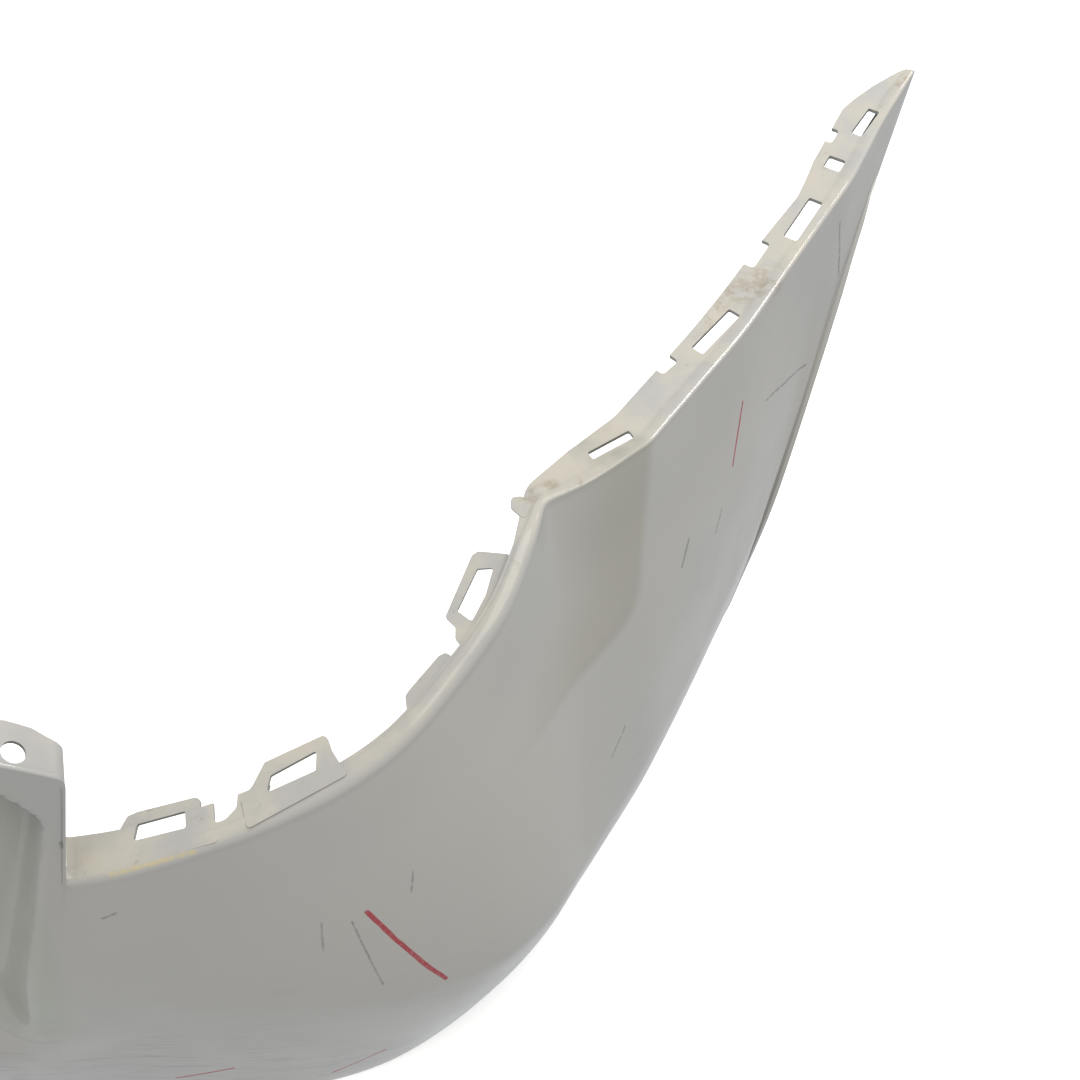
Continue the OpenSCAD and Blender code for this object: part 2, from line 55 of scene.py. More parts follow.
# Stations from the middle of the car to the tip of the right-hand side: top edge, widest line, lower edge,
# heading of the top edge, shape power, shoulder inward, shoulder upward, flange. They repeat the CAD's
# stations, so that the finer skin has the same shape; much of the top edge is measured and not designed.
STATIONS = [
    ((0, 17, 472), (0, -23, 192), (0, -4, 0), 0, 2.2, 3, 1.6, 12),
    ((150, 21, 470), (138, -20, 192), (136, -2, 0), 3, 2.2, 3, 1.6, 12),
    ((240, 27, 465), (210, -15, 191), (205, 2, 0), 6, 2.2, 3, 1.6, 14),
    ((262, 30, 458), (222, -14, 191), (216, 3, 0), 10, 2.1, 3, 1.6, 28),
    ((284, 32, 449), (240, -12, 190), (232, 4, 0), 14, 2.0, 3, 1.6, 32),
    ((300, 34, 440), (255, -10, 190), (245, 5, 0), 16, 2.0, 3, 1.6, 31),
    ((308, 35, 435), (265, -8, 190), (254, 6, 0), 16, 1.9, 3, 1.6, 27),
    ((316, 36, 430), (274, -7, 190), (262, 7, 0), 14, 1.9, 4, 2, 22),
    ((300, 17, 323), (286, -6, 189), (274, 8, 0), 12, 1.8, 10, 7, 25),
    ((340, 24, 328), (325, -3, 187), (308, 10, 0), 13, 1.8, 11, 8, 23),
    ((385, 37, 337), (372, 0, 182), (352, 13, 0), 17, 1.7, 12, 8, 20),
    ((431, 54, 346), (420, 5, 176), (398, 18, 0), 24, 1.7, 13, 8, 18),
    ((478, 77, 358), (470, 13, 171), (444, 27, 0), 31, 1.6, 14, 8, 5),
    ((515, 104, 372), (516, 25, 168), (490, 46, 0), 40, 1.5, 14, 8, 3),
    ((548, 142, 390), (556, 42, 168), (527, 73, 0), 50, 1.4, 13, 8, 3),
    ((577, 184, 411), (590, 64, 171), (558, 104, 0), 60, 1.3, 12, 7, 3),
    ((592, 226, 427), (616, 96, 174), (584, 139, 0), 70, 1.3, 11, 6, 3),
    ((599, 262, 436), (636, 133, 178), (604, 178, 0), 48, 1.3, 7, 3, 12),
    ((630, 281, 439), (656, 172, 183), (624, 218, 0), 35, 1.4, 3, 1.6, 28),
    ((668, 314, 441), (682, 224, 188), (649, 270, 0), 48, 1.5, 3, 1.6, 31),
    ((701, 364, 445), (706, 280, 196), (676, 324, 0), 56, 1.5, 3, 1.6, 30),
    ((735, 416, 450), (730, 336, 208), (702, 380, 0), 58, 1.4, 3, 1.6, 30),
    ((769, 478, 456), (756, 398, 228), (733, 446, 0), 62, 1.3, 3, 1.6, 28),
    ((796, 527, 461), (774, 443, 262), (749, 428, 120), 63, 1.2, 3, 1.6, 25),
    ((814, 560, 465), (794, 488, 330), (771, 440, 220), 63, 1.1, 3, 1.6, 31),
    ((836, 612, 471), (820, 556, 408), (799, 496, 332), 65, 1.1, 3, 1.6, 30),
    ((850, 640, 475), (838, 605, 440), (826, 568, 410), 68, 1, 3, 1.6, 20),
    ((862, 663, 480), (858, 655, 468), (855, 650, 456), 70, 1, 2, 1, 5),
]
# Stations where the top edge, the widest line and the lower edge turn sharply
CORNERS = ((7, 8, 17, 19), (), (22,))
SIDE_FLANGE = 17
COLUMN_STEP = 4.0

# How the rows of a column are spread
LIP_WIDTH = 22.0
LIP_RISE = 2.0
EDGE_ROUND = 0.8
LIP_ROWS = (1, 0.62, 0.3, 0.1)
TUCK_ROWS = np.linspace(1, 0, 17)[:-1]
FACE_ROWS = np.linspace(0, 1, 66)
SHOULDER_ROWS = np.linspace(0, 90, 9)[1:]
FLANGE_ROWS = (0.1, 0.3, 0.55, 0.8, 1)
FLANGE_DROP = 0.6
SIDE_BAND = 6.0

# The corner under the lamp is pressed in behind a crease, which runs down from the shoulder kink and then
# turns forward along a level stretch
KINK = np.array([668.0, 314.0, 441.0])
KINK_AWAY = np.array([0.392, 0.785, -0.479])
LEVEL_AT = (575, 312)
LEVEL_RISE = 0.24
PRESS_DEPTH = 5.0
PRESS_RUN = 30.0
PRESS_TOP_FADE = 0.25
PRESS_FROM = 560.0
PRESS_FADE = 60.0
CREASE_ROUND = 30.0
CREASE_SOFT = 4.0

# The face follows a smoothed top edge from this distance outward
GUIDE_FROM = 430.0
GUIDE_PASSES = 160
GUIDE_SHARE = 0.72

# The number-plate recess
RECESS_DEPTH = 30.0
RIM_SIDE = 308.0
RIM_SIDE_Z = 434.0
RIM_LEAN = 0.178
RIM_TOP = 457.0
RIM_TOP_FALL = 33.0
RIM_CORNER_FROM = 225.0
RIM_CORNER_RUN = 57.0
RIM_BOTTOM = 96.0
RIM_ROUND = 24.0


def mix(a, b, t):
    return a * (1 - t) + b * t


def ease(t):
    t = np.clip(t, 0, 1)
    return t * t * (3 - 2 * t)


def is_corner(i, rail):
    return i in CORNERS[rail]


def rail_slope(rails, i, towards, rail):
    """The rail's slope at station i, one-sided where the rail turns sharply."""
    if is_corner(i, rail):
        low, high = sorted((i, towards))
        return rails[high][rail] - rails[low][rail]
    return (rails[min(len(rails) - 1, i + 1)][rail] - rails[max(0, i - 1)][rail]) / 2


def hermite(p, q, m, n, t):
    return (
        (2 * t**3 - 3 * t**2 + 1) * p
        + (t**3 - 2 * t**2 + t) * m
        + (3 * t**2 - 2 * t**3) * q
        + (t**3 - t**2) * n
    )


def soften(values):
    """Rounds the corners of a rail over a few columns."""
    padded = np.concatenate([values[:1] * 2 - values[1:2], values, values[-1:] * 2 - values[-2:-1]])
    return padded[:-2] / 4 + padded[1:-1] / 2 + padded[2:] / 4


def half_columns(step=COLUMN_STEP):
    """Rails and section values of every column from the middle to the tip."""
    rails = [[np.array(p, float) for p in s[:3]] for s in STATIONS]
    values = np.array([s[3:] for s in STATIONS], float)
    bands = np.where(np.arange(len(STATIONS)) >= SIDE_FLANGE + 1, SIDE_BAND, 0.0)
    columns = []
    for i in range(len(STATIONS) - 1):
        longest = max(np.linalg.norm(rails[i + 1][k] - rails[i][k]) for k in range(3))
        count = max(2, math.ceil(longest / step))
        for t in np.arange(count) / count:
            points = [
                hermite(
                    rails[i][k],
                    rails[i + 1][k],
                    rail_slope(rails, i, i + 1, k),
                    rail_slope(rails, i + 1, i, k),
                    t,
                )
                for k in range(3)
            ]
            rest = mix(values[i], values[i + 1], t)
            columns.append(np.concatenate([*points, rest, [mix(bands[i], bands[i + 1], t)]]))
    last = np.concatenate([*rails[-1], values[-1], bands[-1:]])
    columns = np.array(columns + [last])
    middle = columns[0, [0, 3, 6]].copy()
    columns[:, :9] = soften(soften(columns[:, :9]))
    columns[0, [0, 3, 6]] = middle
    return columns


def pressed(points, h):
    """How far points of the face, at the fraction h of its height, are pressed in."""
    steep = (KINK - points) @ KINK_AWAY
    level = points[:, 2] - LEVEL_AT[1] - LEVEL_RISE * (points[:, 0] - LEVEL_AT[0])
    behind = (steep + level - np.hypot(steep - level, CREASE_ROUND)) / 2
    run = (behind + np.hypot(behind, CREASE_SOFT)) / 2
    below_top = ease((1 - h) / PRESS_TOP_FADE)
    outboard = ease((points[:, 0] - PRESS_FROM) / PRESS_FADE)
    return PRESS_DEPTH * (1 - np.exp(-run / PRESS_RUN)) * below_top * outboard


def rim_half(z):
    return RIM_SIDE - RIM_LEAN * (RIM_SIDE_Z - z)


def rim_top(x):
    return RIM_TOP - RIM_TOP_FALL * (np.maximum(0, np.abs(x) - RIM_CORNER_FROM) / RIM_CORNER_RUN) ** 2


def recess(x, z):
    """Depth of the number-plate recess at a point of the face."""
    side = ease((rim_half(z) - np.abs(x)) / mix(40, 18, np.clip((z - 200) / 200, 0, 1)))
    return RECESS_DEPTH * side * ease((rim_top(x) - z) / RIM_ROUND) * ease((z - RIM_BOTTOM) / 70)


def smooth_guide(top):
    """The top edge with the turns beside the lamp smoothed away, as a guide for the face below it."""
    guide = top.copy()
    start = np.argmax(top[:, 0] > GUIDE_FROM)
    for _ in range(GUIDE_PASSES):
        guide[start:-1] = guide[start - 1 : -2] / 4 + guide[start:-1] / 2 + guide[start + 1 :] / 4
    return guide


def outer_grid(columns):
    """Outer points of the right half: one row of points per column, from the lip to the flange's edge."""
    top, wide, low = columns[:, 0:3], columns[:, 3:6], columns[:, 6:9]
    heading, power, inward, upward, flange, band = columns[:, 9:15].T
    turn = np.radians(heading)
    into = np.stack([-np.sin(turn), np.cos(turn), 0 * turn], 1)
    up = np.array([0.0, 0.0, 1.0])
    guide = smooth_guide(top)
    lip = np.minimum(LIP_WIDTH, 0.6 * (top[:, 2] - low[:, 2]))
    rows = [low + into * (lip * f)[:, None] + up * (LIP_RISE * f) for f in LIP_ROWS]

    def sunk(points):
        points = points.copy()
        points[:, 1] += recess(points[:, 0], points[:, 2])
        return points

    for g in TUCK_ROWS:
        s = (g ** np.minimum(2, power))[:, None]
        points = wide * (1 - s) + low * s
        points[:, 2] = mix(wide[:, 2], low[:, 2], g)
        if g == 1:
            points = points + into * EDGE_ROUND + up * EDGE_ROUND
        rows.append(sunk(points))
    for h in FACE_ROWS:
        s = (h**power)[:, None]
        edge = mix(guide, top, ease((h - GUIDE_SHARE) / (1 - GUIDE_SHARE)))
        points = wide * (1 - s) + edge * s
        points[:, 2] = mix(wide[:, 2], edge[:, 2], h)
        rows.append(sunk(points) + into * pressed(points, h)[:, None])
    for a in np.radians(SHOULDER_ROWS):
        raised = up * (upward * math.sin(a))[:, None]
        rows.append(top + into * (inward * (1 - math.cos(a)))[:, None] + raised)
    crest = top + into * inward[:, None] + up * upward[:, None]
    width = np.minimum(band, 0.4 * flange)
    rows.append(crest + into * (width + 0.3)[:, None] + up * -0.1)
    rows.append(crest + into * (width + 1.0)[:, None] - up * FLANGE_DROP * 0.9)
    for f in FLANGE_ROWS:
        reach = mix(width + 1.0, flange, f)
        rows.append(crest + into * reach[:, None] - up * FLANGE_DROP)
    return np.stack(rows, 1)


def mirror_grid(half):
    left = half[:0:-1].copy()
    left[:, :, 0] *= -1
    return np.concatenate([left, half])


def grid_normals(grid):
    along = np.gradient(grid, axis=0)
    across = np.gradient(grid, axis=1)
    normals = np.cross(along, across)
    return normals / np.maximum(np.linalg.norm(normals, axis=2, keepdims=True), 1e-9)


def shell_mesh(name, grid, depth=WALL):
    """A closed shell whose outer side is the grid and whose inner side lies depth behind it."""
    n, m, _ = grid.shape
    normals = grid_normals(grid)
    if normals[n // 2, m // 2, 1] > 0:
        normals = -normals
    points = np.concatenate([grid.reshape(-1, 3), (grid - normals * depth).reshape(-1, 3)])
    index = np.arange(n * m).reshape(n, m)
    a, b, c, d = index[:-1, :-1], index[1:, :-1], index[1:, 1:], index[:-1, 1:]
    outer = np.stack([a, b, c, d], -1).reshape(-1, 4)
    inner = outer[:, ::-1] + n * m
    rim = []
    for edge in (index[:, 0], index[:, -1][::-1], index[0][::-1], index[-1]):
        rim.append(np.stack([edge[1:], edge[:-1], edge[:-1] + n * m, edge[1:] + n * m], -1))
    faces = np.concatenate([outer, inner, *rim])
    mesh = bpy.data.meshes.new(name)
    mesh.from_pydata(points.tolist(), [], faces.tolist())
    mesh.validate()
    return mesh


# ---------------------------------------------------------------- mesh helpers


def frame_at(at, *turns, mirrored=False):
    """A frame at a point in car millimetres, turned in order by (axis, degrees); shapes in it are in mm."""
    m = Matrix.Translation(Vector((at[0], at[1] - DEPTH_MID, at[2])) * MM)
    for axis, degrees in turns:
        m = m @ Matrix.Rotation(math.radians(degrees), 4, axis)
    m = m @ Matrix.Scale(MM, 4)
    return Matrix.Scale(-1, 4, (1, 0, 0)) @ m if mirrored else m


CAR = frame_at((0, 0, 0))


def put(mesh, matrix):
    """Moves a mesh drawn in mm into the row frame."""
    mesh.transform(matrix)
    if matrix.determinant() < 0:
        mesh.flip_normals()
    return mesh


def fix_sides(mesh):
    bm = bmesh.new()
    bm.from_mesh(mesh)
    bmesh.ops.recalc_face_normals(bm, faces=bm.faces)
    bm.to_mesh(mesh)
    bm.free()
    return mesh


def prism(outline, z0, z1, name="prism"):
    """A closed prism with the outline drawn in XY."""
    n = len(outline)
    points = [(x, y, z) for z in (z0, z1) for x, y in outline]
    faces = [tuple(range(n))[::-1], tuple(range(n, 2 * n))]
    faces += [(i, (i + 1) % n, n + (i + 1) % n, n + i) for i in range(n)]
    mesh = bpy.data.meshes.new(name)
    mesh.from_pydata(points, [], faces)
    return fix_sides(mesh)


def box(low, high, name="box"):
    return prism(
        [(low[0], low[1]), (high[0], low[1]), (high[0], high[1]), (low[0], high[1])], low[2], high[2], name
    )


def rounded(outline, radius, steps=5):
    """The outline with each corner turned into an arc."""
    result = []
    n = len(outline)
    for i in range(n):
        before, corner, after = (np.array(outline[(i + k) % n], float) for k in (-1, 0, 1))
        to_before, to_after = before - corner, after - corner
        room = min(np.linalg.norm(to_before), np.linalg.norm(to_after)) * 0.45
        to_before /= np.linalg.norm(to_before)
        to_after /= np.linalg.norm(to_after)
        half = math.acos(float(np.clip(to_before @ to_after, -1, 1))) / 2
        if half > math.radians(80):
            result.append(tuple(corner))
            continue
        reach = min(radius / math.tan(half), room)
        start, end = corner + to_before * reach, corner + to_after * reach
        for t in np.linspace(0, 1, steps):
            result.append(tuple((1 - t) ** 2 * start + 2 * t * (1 - t) * corner + t * t * end))
    return result


def rectangle(w, h, radius, x=0.0, y=0.0):
    signs = ((-1, -1), (1, -1), (1, 1), (-1, 1))
    return rounded([(x + i * w / 2, y + j * h / 2) for i, j in signs], radius)


def circle(r, steps=40, x=0.0, y=0.0):
    turns = np.arange(steps) * 2 * math.pi / steps
    return [(x + r * math.cos(a), y + r * math.sin(a)) for a in turns]


def lathe(profile, steps=40, name="lathe"):
    """A closed solid turned about Z; the profile is a closed loop of (radius, height) off the axis."""
    n = len(profile)
    points = []
    for k in range(steps):
        a = 2 * math.pi * k / steps
        points += [(r * math.cos(a), r * math.sin(a), z) for r, z in profile]
    faces = [
        (k * n + i, ((k + 1) % steps) * n + i, ((k + 1) % steps) * n + (i + 1) % n, k * n + (i + 1) % n)
        for k in range(steps)
        for i in range(n)
    ]
    mesh = bpy.data.meshes.new(name)
    mesh.from_pydata(points, [], faces)
    bm = bmesh.new()
    bm.from_mesh(mesh)
    bmesh.ops.remove_doubles(bm, verts=bm.verts, dist=0.001)
    bmesh.ops.dissolve_degenerate(bm, edges=bm.edges, dist=0.001)
    bmesh.ops.recalc_face_normals(bm, faces=bm.faces)
    bm.to_mesh(mesh)
    bm.free()
    return mesh


def tube(path, radius, steps=16, name="tube"):
    """A closed tube along a path of points; radius is a number or one value per point."""
    path = [Vector(p) for p in path]
    radii = [radius] * len(path) if np.isscalar(radius) else list(radius)
    points, faces = [], []
    side = None
    for i, p in enumerate(path):
        ahead = (path[min(i + 1, len(path) - 1)] - path[max(i - 1, 0)]).normalized()
        side = ahead.orthogonal() if side is None else side - ahead * side.dot(ahead)
        side.normalize()
        other = ahead.cross(side)
        for k in range(steps):
            a = 2 * math.pi * k / steps
            points.append(p + (side * math.cos(a) + other * math.sin(a)) * radii[i])
    for i in range(len(path) - 1):
        for k in range(steps):
            j = (k + 1) % steps
            faces.append((i * steps + k, i * steps + j, (i + 1) * steps + j, (i + 1) * steps + k))
    faces.append(tuple(range(steps))[::-1])
    faces.append(tuple(range((len(path) - 1) * steps, len(path) * steps)))
    mesh = bpy.data.meshes.new(name)
    mesh.from_pydata([tuple(p) for p in points], [], faces)
    return fix_sides(mesh)


def joined(meshes, name):
    """Several meshes in one, without merging their surfaces."""
    bm = bmesh.new()
    for mesh in meshes:
        bm.from_mesh(mesh)
    result = bpy.data.meshes.new(name)
    bm.to_mesh(result)
    bm.free()
    return result


def new_object(name, mesh):
    obj = bpy.data.objects.new(name, mesh)
    bpy.context.scene.collection.objects.link(obj)
    return obj


def applied(obj):
    """Replaces the object's mesh by the result of its modifiers."""
    evaluated = obj.evaluated_get(bpy.context.evaluated_depsgraph_get())
    mesh = bpy.data.meshes.new_from_object(evaluated)
    obj.modifiers.clear()
    obj.data = mesh
    return obj


def combine(obj, mesh, operation, solver="MANIFOLD"):
    """Adds, cuts or intersects a mesh with the object."""
    other = new_object("cutter", mesh)
    modifier = obj.modifiers.new("combine", "BOOLEAN")
    modifier.operation = operation
    modifier.solver = solver
    modifier.object = other
    applied(obj)
    bpy.data.objects.remove(other)
    return obj


def smooth(obj, angle=32):
    mesh = obj.data
    mesh.shade_smooth()
    mesh.set_sharp_from_angle(angle=math.radians(angle))
    return obj


def bevelled(obj, width, segments=2, angle=40):
    """Rounds the sharp edges; the width is in mm."""
    modifier = obj.modifiers.new("edges", "BEVEL")
    modifier.width = width * MM
    modifier.segments = segments
    modifier.limit_method = "ANGLE"
    modifier.angle_limit = math.radians(angle)
    modifier.use_clamp_overlap = True
    modifier.harden_normals = False
    return applied(obj)


def piece(name, mesh, material, body=BUMPER, replaces=(), round_mm=0.0, angle=32):
    """A finished visible piece that rides on a body and stands for CAD nodes."""
    obj = new_object(name, mesh)
    if round_mm:
        bevelled(obj, round_mm)
    smooth(obj, angle)
    obj.data.materials.clear()
    obj.data.materials.append(material)
    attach(obj, body)
    if replaces:
        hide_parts(*replaces)
    return obj


# ---------------------------------------------------------------- material helpers


class Shader:
    """A material around one Principled shader, with short calls that add nodes."""

    def __init__(self, name, **sockets):
        self.material = bpy.data.materials.new(name)
        self.material.use_nodes = True
        self.tree = self.material.node_tree
        self.tree.nodes.clear()
        out = self.node("ShaderNodeOutputMaterial")
        self.bsdf = self.node("ShaderNodeBsdfPrincipled")
        self.tree.links.new(self.bsdf.outputs[0], out.inputs[0])
        self.place = self.node("ShaderNodeTexCoord").outputs["Object"]
        for socket, value in sockets.items():
            self.set(socket.replace("_", " "), value)

    def node(self, kind, **settings):
        node = self.tree.nodes.new(kind)
        for key, value in settings.items():
            setattr(node, key, value)
        return node

    def feed(self, socket, value):
        if isinstance(value, bpy.types.NodeSocket):
            self.tree.links.new(value, socket)
        else:
            socket.default_value = value

    def set(self, socket, value):
        self.feed(self.bsdf.inputs[socket], value)

    def math(self, operation, a, b=0.0, c=0.0, clamp=False):
        node = self.node("ShaderNodeMath", operation=operation, use_clamp=clamp)
        for socket, value in zip(node.inputs, (a, b, c)):
            self.feed(socket, value)
        return node.outputs[0]

    def vector(self, operation, a, b=(0, 0, 0), value_out=False):
        node = self.node("ShaderNodeVectorMath", operation=operation)
        self.feed(node.inputs[0], a)
        self.feed(node.inputs[1], b)
        return node.outputs["Value" if value_out else "Vector"]

    def stretched(self, scale, turn=(0, 0, 0), shift=(0, 0, 0)):
        node = self.node("ShaderNodeMapping")
        self.feed(node.inputs["Vector"], self.place)
        node.inputs["Scale"].default_value = scale
        node.inputs["Rotation"].default_value = turn
        node.inputs["Location"].default_value = shift
        return node.outputs[0]

    def noise(self, scale, detail=3.0, roughness=0.5, place=None, distortion=0.0):
        node = self.node("ShaderNodeTexNoise")
        self.feed(node.inputs["Vector"], self.place if place is None else place)
        for socket, value in (
            ("Scale", scale),
            ("Detail", detail),
            ("Roughness", roughness),
            ("Distortion", distortion),
        ):
            node.inputs[socket].default_value = value
        return node.outputs["Fac"]

    def cells(self, scale, feature="F1", place=None):
        node = self.node("ShaderNodeTexVoronoi", feature=feature)
        self.feed(node.inputs["Vector"], self.place if place is None else place)
        node.inputs["Scale"].default_value = scale
        return node.outputs["Distance"]

    def shake(self, reach, scale):
        """A small wandering offset, at most reach metres each way."""
        node = self.node("ShaderNodeTexNoise")
        self.feed(node.inputs["Vector"], self.place)
        node.inputs["Scale"].default_value = scale
        centred = self.vector("SUBTRACT", node.outputs["Color"], (0.5, 0.5, 0.5))
        return self.vector("MULTIPLY", centred, (2 * reach,) * 3)

    def range(self, value, low, high, to_low=0.0, to_high=1.0):
        node = self.node("ShaderNodeMapRange", interpolation_type="SMOOTHSTEP")
        for socket, number in zip(node.inputs, (value, low, high, to_low, to_high)):
            self.feed(socket, number)
        return node.outputs[0]

    def blend(self, share, a, b, mode="MIX"):
        node = self.node("ShaderNodeMix", data_type="RGBA", blend_type=mode)
        self.feed(node.inputs["Factor"], share)
        self.feed(node.inputs[6], a)
        self.feed(node.inputs[7], b)
        return node.outputs[2]

    def bump(self, height, strength, distance, normal=None):
        node = self.node("ShaderNodeBump")
        node.inputs["Strength"].default_value = strength
        node.inputs["Distance"].default_value = distance
        self.feed(node.inputs["Height"], height)
        if normal is not None:
            self.feed(node.inputs["Normal"], normal)
        return node.outputs[0]

    def split(self, vector):
        node = self.node("ShaderNodeSeparateXYZ")
        self.feed(node.inputs[0], vector)
        return node.outputs


def rgb(r, g, b):
    return (r, g, b, 1.0)


def plain_plastic(name, colour, roughness=0.5, grain=0.3):
    s = Shader(name, Roughness=roughness, Specular_IOR_Level=0.45)
    mottle = s.noise(60, 4)
    dark = tuple(c * 0.75 for c in colour[:3]) + (1.0,)
    s.set("Base Color", s.blend(mottle, dark, colour))
    s.set("Roughness", s.range(s.noise(35, 4), 0.3, 0.7, roughness - 0.07, roughness + 0.1))
    s.set("Normal", s.bump(s.noise(1400, 2), grain, 0.0001))
    return s.material


def grained_plastic():
    s = Shader("grained_black", Specular_IOR_Level=0.4)
    cells = s.cells(1100)
    s.set("Base Color", s.blend(s.noise(18, 4), rgb(0.018, 0.018, 0.019), rgb(0.036, 0.036, 0.038)))
    s.set("Roughness", s.range(cells, 0.0, 0.8, 0.5, 0.72))
    s.set("Normal", s.bump(cells, 0.5, 0.00025, s.bump(s.noise(420, 3), 0.3, 0.0002)))
    return s.material


def zinc():
    s = Shader("zinc", Metallic=1.0)
    flakes = s.cells(260)
    s.set("Base Color", s.blend(flakes, rgb(0.42, 0.43, 0.45), rgb(0.62, 0.62, 0.60)))
    s.set("Roughness", s.range(s.noise(90, 4), 0.3, 0.7, 0.28, 0.5))
    s.set("Normal", s.bump(s.noise(700, 2, place=s.stretched((1, 1, 0.1))), 0.15, 0.0001))
    return s.material


def bead_foam():
    s = Shader("bead_foam", Specular_IOR_Level=0.25)
    cells = s.cells(260)
    seams = s.range(s.cells(260, "DISTANCE_TO_EDGE"), 0.0, 0.09)
    s.set("Base Color", s.blend(seams, rgb(0.018, 0.018, 0.02), rgb(0.06, 0.06, 0.064)))
    s.set("Roughness", s.range(cells, 0.0, 1.0, 0.62, 0.85))
    s.set("Normal", s.bump(seams, 0.7, 0.0006))
    return s.material


def clear_plastic():
    s = Shader("clear_lens", Transmission_Weight=1.0, IOR=1.49, Roughness=0.04)
    s.set("Base Color", s.blend(s.noise(30, 3), rgb(0.9, 0.92, 0.93), rgb(0.97, 0.98, 0.99)))
    s.set("Normal", s.bump(s.noise(300, 2), 0.05, 0.0002))
    return s.material


def bulb_glass():
    s = Shader("bulb_glass", Transmission_Weight=1.0, IOR=1.5, Roughness=0.02)
    s.set("Base Color", s.blend(s.noise(80, 2), rgb(0.95, 0.95, 0.94), rgb(0.99, 0.99, 0.99)))
    return s.material


RIDGE_TURNS = 2100


def red_reflector():
    s = Shader("red_reflector", Coat_Weight=1.0, Coat_Roughness=0.04, Roughness=0.25)
    x, _, z = s.split(s.place)
    across, upright = (s.math("SINE", s.math("MULTIPLY", value, RIDGE_TURNS)) for value in (x, z))
    ridges = s.math("MULTIPLY", across, upright)
    # Painted shade and light: the red is darker in the grooves and lighter on the ridges of the prism
    # pattern
    s.set("Base Color", s.blend(s.range(ridges, -1, 1), rgb(0.16, 0.003, 0.004), rgb(0.58, 0.015, 0.012)))
    s.set("Normal", s.bump(ridges, 0.5, 0.0004))
    return s.material


def taped_cable():
    s = Shader("taped_cable", Specular_IOR_Level=0.3)
    x, _, z = s.split(s.place)
    wraps = s.math("FRACT", s.math("MULTIPLY", s.math("ADD", x, s.math("MULTIPLY", z, 0.4)), 110))
    s.set("Base Color", s.blend(s.noise(200, 3), rgb(0.012, 0.012, 0.013), rgb(0.03, 0.03, 0.032)))
    s.set("Roughness", s.range(s.noise(300, 3), 0.3, 0.7, 0.45, 0.65))
    s.set("Normal", s.bump(wraps, 0.5, 0.0005, s.bump(s.noise(900, 2), 0.3, 0.0001)))
    return s.material


def car(x, y, z):
    """A point of the car's frame in millimetres, as a point of the scene in metres."""
    return Vector((x, y - DEPTH_MID, z)) * MM


def stroke(s, place, points, width, soft=0.4):
    """1 along a line through points of the car's frame in mm, falling to 0 past half its width."""
    mask = None
    for a, b in zip(points, points[1:]):
        a, b = car(*a), car(*b)
        along = b - a
        from_a = s.vector("SUBTRACT", place, tuple(a))
        dot = s.vector("DOT_PRODUCT", from_a, tuple(along), True)
        share = s.math("MULTIPLY", dot, 1 / along.length_squared, clamp=True)
        scaled = s.node("ShaderNodeVectorMath", operation="SCALE")
        scaled.inputs[0].default_value = along
        s.feed(scaled.inputs["Scale"], share)
        away = s.vector("LENGTH", s.vector("SUBTRACT", from_a, scaled.outputs[0]), value_out=True)
        near = s.range(away, width / 2 * MM, (width / 2 + soft) * MM, 1.0, 0.0)
        mask = near if mask is None else s.math("MAXIMUM", mask, near)
    return mask


PAINT_WARM = rgb(0.330, 0.318, 0.292)
PAINT_COOL = rgb(0.308, 0.303, 0.289)
# Painted shade: the greenish, darker shade inside the number-plate recess
RECESS_SHADE = rgb(0.300, 0.305, 0.255)
# Painted shade: the darker, olive shade behind the crease of the pressed-in corner
PRESSED_SHADE = rgb(0.262, 0.252, 0.218)
SCRATCH_GREY = rgb(0.13, 0.13, 0.12)
SCUFF_BLUE = rgb(0.235, 0.245, 0.275)
CRAYON_RED = rgb(0.27, 0.010, 0.022)
RUST_BROWN = rgb(0.20, 0.15, 0.085)
OLD_YELLOW = rgb(0.46, 0.37, 0.17)
UPWARD_TINT = rgb(0.40, 0.37, 0.31)

# Wear marks, placed to about 5 mm and 5 degrees: where the line starts, its length, how far it
# leans to the right from straight down, its width and, where given, how softly it ends.
# On the face the start is (x, z) seen from outside; on the flange it is (x, y) seen from above.
CRAYON_MARKS = [
    ((490, 265), 100, 30, 3.4),
    ((735, 395), 45, -5, 1.8),
    ((335, 45), 50, 115, 1.8),
    ((450, 30), 50, 125, 1.8),
]
SCRATCHES = [
    ((480, 260), 70, 15, 1.2),
    ((460, 265), 25, 0, 1.2),
    ((520, 285), 15, -5, 1.2),
    ((660, 255), 15, -35, 1.2),
    ((700, 340), 15, -15, 2.6),
    ((725, 325), 15, -15, 1.6),
    ((755, 365), 40, 55, 2.0),
    ((805, 440), 50, 5, 2.4),
    ((305, 375), 5, 0, 2.5),
    ((320, 295), 10, 115, 1.4),
]
FLANGE_STAINS = [
    ((725, 450), 25, 110, 8, 20),
    ((700, 415), 30, 155, 3, 12),
    ((585, 265), 20, 125, 5, 5),
    ((850, 650), 10, 150, 3, 4),
]
YELLOWED = [((330, 25), 55, 105, 1.0, 2)]
MARK_STEP = 25


def outer_tree():
    """The outer side of the skin, to find the depth of a mark on it."""
    n, m, _ = GRID.shape
    index = np.arange(n * m).reshape(n, m)
    quads = np.stack([index[:-1, :-1], index[1:, :-1], index[1:, 1:], index[:-1, 1:]], -1).reshape(-1, 4)
    return BVHTree.FromPolygons(GRID.reshape(-1, 3).tolist(), quads.tolist())


def on_face(x, z):
    return OUTER.ray_cast(Vector((x, -200, z)), Vector((0, 1, 0)))[0]


def on_flange(x, y):
    return OUTER.ray_cast(Vector((x, y, 600)), Vector((0, 0, -1)))[0]


def along_surface(surface, start, length, lean):
    """Points of a line drawn on the surface, dropped wherever the surface ends."""
    steps = max(1, round(length / MARK_STEP))
    turn = math.radians(lean)
    stops = np.linspace(0, length, steps + 1)
    line = [(start[0] + t * math.sin(turn), start[1] - t * math.cos(turn)) for t in stops]
    return [point for point in (surface(*at) for at in line) if point]


